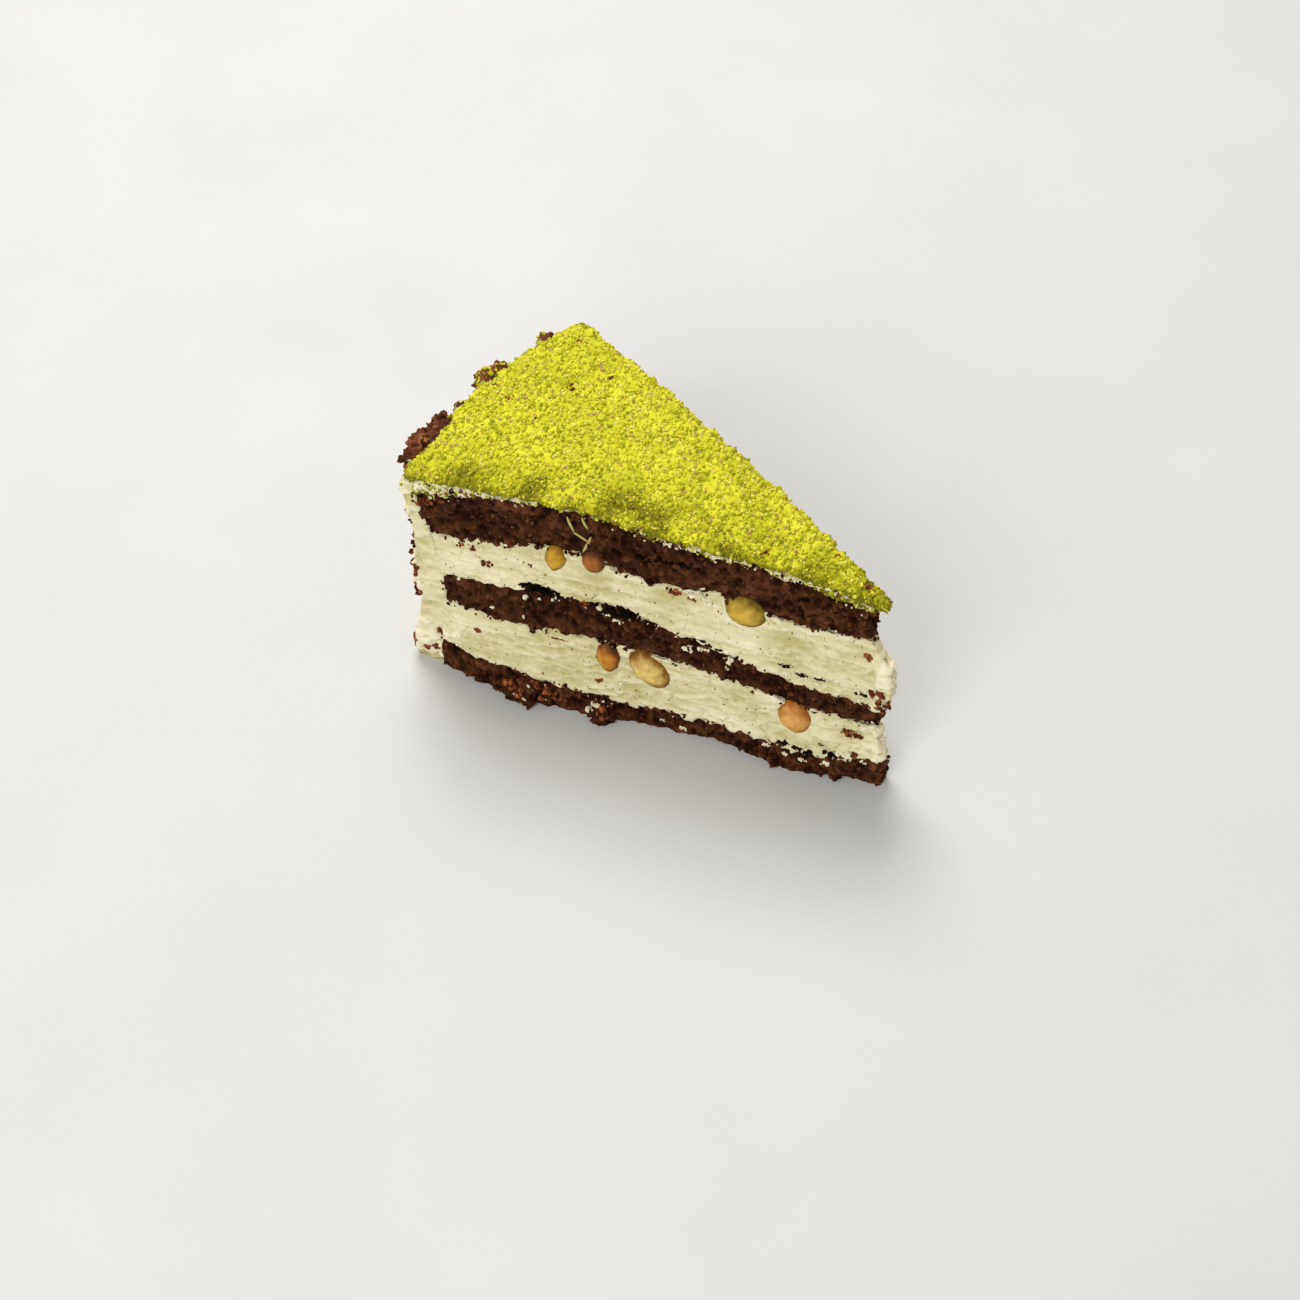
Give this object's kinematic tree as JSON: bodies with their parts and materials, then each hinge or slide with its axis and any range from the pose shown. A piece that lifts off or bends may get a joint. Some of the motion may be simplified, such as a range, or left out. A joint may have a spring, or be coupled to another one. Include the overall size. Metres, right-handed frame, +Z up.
{
  "type": "pistachio cake slice",
  "caption": "Wedge of round layer cake: chocolate sponge and pistachio cream layers with whole nuts, a crumbed cream rim and a ground pistachio top.",
  "frame": {"origin": "on the underside, on the slice's middle line, halfway between the tip and the rim of the round cake", "axes": "+X along the middle line from the rim to the tip, -Y towards the cut face that the picture shows, +Z up from the plate"},
  "size_m": [0.1255, 0.0689, 0.0665],
  "materials": {
    "sponge": "dull, open chocolate crumb",
    "cream": "soft, knife-dragged pistachio cream",
    "ground_pistachio": "dry ground kernels",
    "nut": "roasted, slightly oily kernels"
  },
  "bodies": {
    "root": {"base_sponge": "sponge", "lower_cream": "cream", "middle_sponge": "sponge", "upper_cream": "cream", "top_sponge": "sponge", "top_cream": "cream", "rim_cream": "cream", "pistachio_topping": "ground_pistachio", "nut_upper_rim": "nut", "nut_upper_middle": "nut", "nut_upper_tip": "nut", "nut_lower_rim": "nut", "nut_lower_middle": "nut", "nut_lower_tip": "nut", "nut_back_upper_rim": "nut", "nut_back_upper_tip": "nut", "nut_back_lower_rim": "nut", "nut_back_lower_tip": "nut"}
  },
  "joints": []
}
